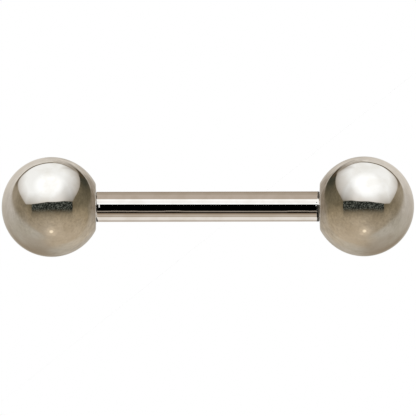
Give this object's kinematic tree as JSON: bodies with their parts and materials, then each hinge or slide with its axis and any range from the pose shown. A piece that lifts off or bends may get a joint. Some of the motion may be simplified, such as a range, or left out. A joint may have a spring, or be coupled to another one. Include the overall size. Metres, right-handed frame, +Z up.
{
  "type": "straight piercing barbell",
  "caption": "Straight polished steel barbell: a round bar between screw-on balls, worn through a piercing.",
  "frame": {"origin": "on the surface that the barbell lies on, midway between the balls, under the bar's axis", "axes": "+X along the bar towards right_ball, +Y away from the viewer, +Z up"},
  "size_m": [0.0222, 0.0054, 0.0054],
  "materials": {
    "bar_steel": "polished surgical steel, a little less bright than the balls",
    "ball_steel": "mirror-polished surgical steel with a warm tint"
  },
  "bodies": {
    "bar": {"bar": "bar_steel"},
    "left_ball": {"left_ball": "ball_steel"},
    "right_ball": {"right_ball": "ball_steel"}
  },
  "joints": [
    {"name": "left_ball_unscrew", "type": "slide", "parent": "bar", "child": "left_ball", "axis": [-1, 0, 0], "range_m": [0, 0.014]},
    {"name": "right_ball_unscrew", "type": "slide", "parent": "bar", "child": "right_ball", "axis": [1, 0, 0], "range_m": [0, 0.014]}
  ]
}
